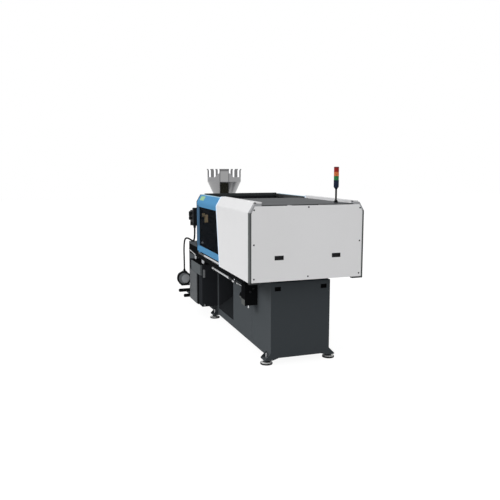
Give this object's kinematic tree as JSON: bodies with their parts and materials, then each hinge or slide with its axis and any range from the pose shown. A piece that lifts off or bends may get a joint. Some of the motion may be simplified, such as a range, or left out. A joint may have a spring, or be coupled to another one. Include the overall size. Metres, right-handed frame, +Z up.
{
  "type": "injection moulding machine",
  "caption": "Horizontal hydraulic injection moulding machine: clamp with sliding safety gates, open mould space, hopper-fed injection unit on slide bars, welded base on levelling mounts.",
  "frame": {"origin": "on the floor at the middle of the machine's length and width", "axes": "+X from the clamp end to the injection end, +Y to the rear side away from the operator, +Z up"},
  "size_m": [3.96, 1.33, 1.972],
  "materials": {
    "cover_white": "satin white paint",
    "end_grey": "satin light grey paint",
    "top_grey": "satin mid grey paint",
    "trim_grey": "satin dark grey paint",
    "base_grey": "satin dark grey paint",
    "gate_blue": "satin blue paint",
    "window_clear": "clear smoked plastic",
    "frame_black": "satin black paint",
    "door_grey": "satin grey paint",
    "platen_paint": "satin light grey paint on castings",
    "ground_steel": "ground steel",
    "bright_chrome": "hard chrome",
    "stainless": "polished stainless steel",
    "band_steel": "heat-tinted steel",
    "valve_block": "bare aluminium",
    "motor_black": "black paint",
    "pad_rubber": "black rubber",
    "cable_rubber": "black sheath",
    "cup_plastic": "black moulded plastic",
    "tower_plastic": "dark moulded plastic with clear lenses in red, amber and green",
    "panel_shell": "satin grey paint",
    "stop_red": "red moulded plastic",
    "lever_blue": "blue dipped plastic"
  },
  "bodies": {
    "machine": {"base_frame": "base_grey", "mount_pads": "pad_rubber", "mount_screws": "ground_steel", "product_chute": "ground_steel", "rear_cover": "cover_white", "front_cover": "cover_white", "end_cover": "end_grey", "end_strips": "trim_grey", "finger_cups": "cup_plastic", "top_cover": "top_grey", "cover_frame": "trim_grey", "gate_rails": "ground_steel", "bulkhead": "frame_black", "tail_platen": "platen_paint", "clamp_cylinder": "platen_paint", "tie_bars": "ground_steel", "fixed_platen": "platen_paint", "slide_bars": "ground_steel", "seat_rod": "ground_steel", "hinge_pins": "frame_black", "signal_tower": "tower_plastic", "oil_tank": "frame_black", "tank_fittings": "bright_chrome", "pump_motor": "door_grey", "oil_filters": "frame_black", "lubrication_unit": "motor_black", "lube_pipe": "bright_chrome", "core_pull_manifold": "frame_black", "power_cable": "cable_rubber", "panel_arm": "frame_black"},
    "clamp": {"moving_platen": "platen_paint", "ram": "bright_chrome", "ejector_cylinders": "platen_paint"},
    "ejector": {"ejector_plate": "ground_steel"},
    "rear_gate": {"rear_gate": "gate_blue", "rear_gate_window": "window_clear"},
    "front_gate": {"front_gate": "gate_blue", "front_gate_window": "window_clear", "front_gate_handle": "bright_chrome"},
    "carriage": {"feed_block": "platen_paint", "barrel": "ground_steel", "heater_bands": "band_steel", "nozzle": "ground_steel", "barrel_guard": "stainless", "injection_cylinders": "platen_paint", "shutoff_block": "valve_block", "hopper": "stainless", "hopper_cone": "stainless", "sight_glass": "window_clear"},
    "drive": {"drive_plate": "platen_paint", "screw_motor": "motor_black"},
    "screw": {"screw": "ground_steel"},
    "hopper_lid": {"hopper_lid": "stainless"},
    "shutoff": {"shutoff_slide": "ground_steel"},
    "panel": {"operator_panel": "panel_shell"},
    "stop_button": {"emergency_stop": "stop_red"},
    "tank_door": {"service_door": "door_grey"},
    "latch": {"door_latch": "bright_chrome"},
    "purge_guard": {"purge_guard": "stainless"},
    "lever": {"valve_lever": "lever_blue"}
  },
  "joints": [
    {"name": "clamp_stroke", "type": "slide", "parent": "machine", "child": "clamp", "axis": [1, 0, 0], "range_m": [0, 0.38]},
    {"name": "ejector_stroke", "type": "slide", "parent": "clamp", "child": "ejector", "axis": [1, 0, 0], "range_m": [0, 0.07]},
    {"name": "rear_gate_slide", "type": "slide", "parent": "machine", "child": "rear_gate", "axis": [-1, 0, 0], "range_m": [0, 0.7]},
    {"name": "front_gate_slide", "type": "slide", "parent": "machine", "child": "front_gate", "axis": [-1, 0, 0], "range_m": [0, 0.7]},
    {"name": "carriage_stroke", "type": "slide", "parent": "machine", "child": "carriage", "axis": [-1, 0, 0], "range_m": [0, 0.17]},
    {"name": "injection_stroke", "type": "slide", "parent": "carriage", "child": "drive", "axis": [1, 0, 0], "range_m": [0, 0.15]},
    {"name": "screw_turn", "type": "hinge", "parent": "drive", "child": "screw", "pos_m": [0.9, 0, 1.17], "axis": [1, 0, 0], "continuous": true},
    {"name": "hopper_lid_hinge", "type": "hinge", "parent": "carriage", "child": "hopper_lid", "pos_m": [1.134, 0, 1.936], "axis": [0, 1, 0], "range_deg": [0, 110]},
    {"name": "shutoff_slide", "type": "slide", "parent": "carriage", "child": "shutoff", "axis": [0, -1, 0], "range_m": [0, 0.05]},
    {"name": "panel_turn", "type": "hinge", "parent": "machine", "child": "panel", "pos_m": [0.224, -0.577, 1.35], "axis": [0, 0, 1], "range_deg": [-80, 20]},
    {"name": "stop_press", "type": "slide", "parent": "panel", "child": "stop_button", "axis": [0, 1, 0], "range_m": [0, 0.006], "stiffness_N_per_m": 2000},
    {"name": "tank_door_hinge", "type": "hinge", "parent": "machine", "child": "tank_door", "pos_m": [0.32, 0.535, 0.37], "axis": [0, 0, 1], "range_deg": [0, 110]},
    {"name": "latch_turn", "type": "hinge", "parent": "tank_door", "child": "latch", "pos_m": [0.684, 0.54, 0.377], "axis": [0, 1, 0], "range_deg": [0, 90]},
    {"name": "purge_guard_hinge", "type": "hinge", "parent": "machine", "child": "purge_guard", "pos_m": [0.207, 0, 1.282], "axis": [0, -1, 0], "range_deg": [0, 100]},
    {"name": "valve_turn", "type": "hinge", "parent": "machine", "child": "lever", "pos_m": [-0.822, 0.385, 0.713], "axis": [0, 0, 1], "range_deg": [0, 90]}
  ]
}
